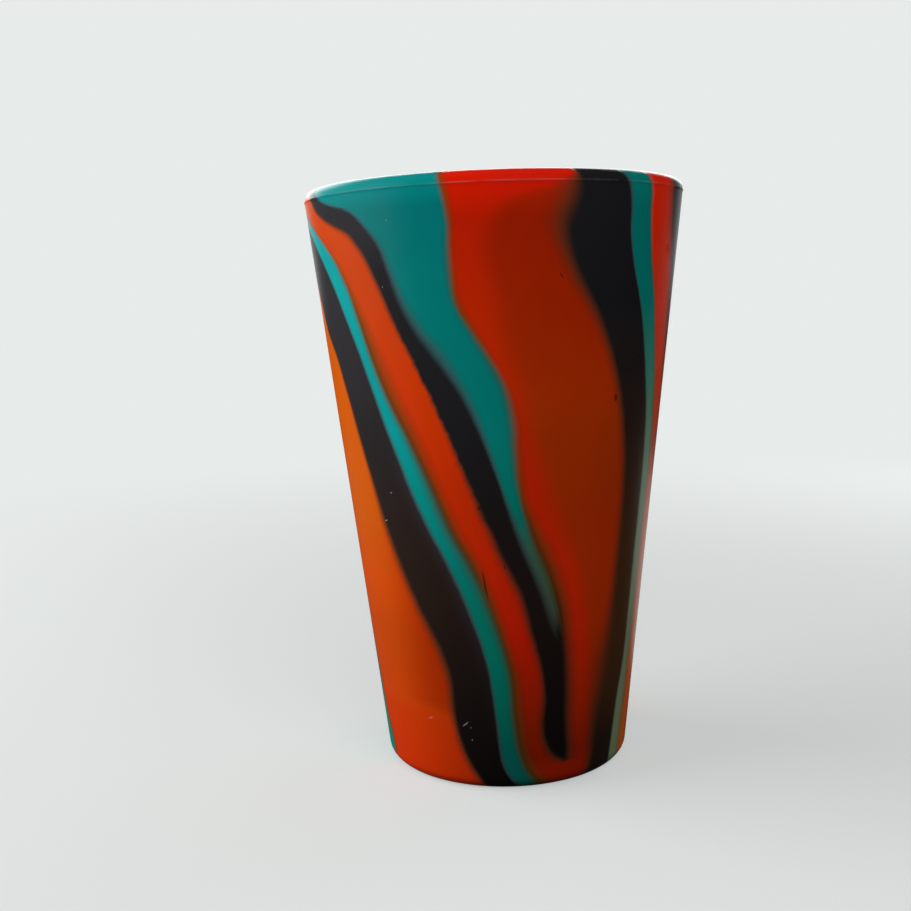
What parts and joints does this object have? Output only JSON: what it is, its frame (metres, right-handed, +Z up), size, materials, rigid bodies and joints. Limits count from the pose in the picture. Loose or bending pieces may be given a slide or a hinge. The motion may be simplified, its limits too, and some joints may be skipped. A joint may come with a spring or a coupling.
{
  "type": "silicone cup",
  "caption": "Tall tapered drinking cup of soft silicone rubber, moulded from swirled orange, black and teal bands, with a rounded lip and a flat foot.",
  "frame": {"origin": "middle of the foot, on the surface that the cup stands on", "axes": "+Z up along the cup's axis, out of its mouth; -Y towards the side seen in the picture"},
  "size_m": [0.0944, 0.0943, 0.146],
  "materials": {
    "orange_silicone": "satin",
    "black_silicone": "satin",
    "teal_silicone": "satin"
  },
  "bodies": {
    "root": {"orange_band_1": "orange_silicone", "black_band_1": "black_silicone", "teal_band_1": "teal_silicone", "orange_band_2": "orange_silicone", "black_band_2": "black_silicone", "teal_band_2": "teal_silicone", "orange_band_3": "orange_silicone", "black_band_3": "black_silicone", "teal_band_3": "teal_silicone", "orange_band_4": "orange_silicone", "black_band_4": "black_silicone", "teal_band_4": "teal_silicone", "orange_band_5": "orange_silicone", "black_band_5": "black_silicone", "teal_band_5": "teal_silicone", "orange_band_6": "orange_silicone", "black_band_6": "black_silicone", "teal_band_6": "teal_silicone"}
  },
  "joints": []
}
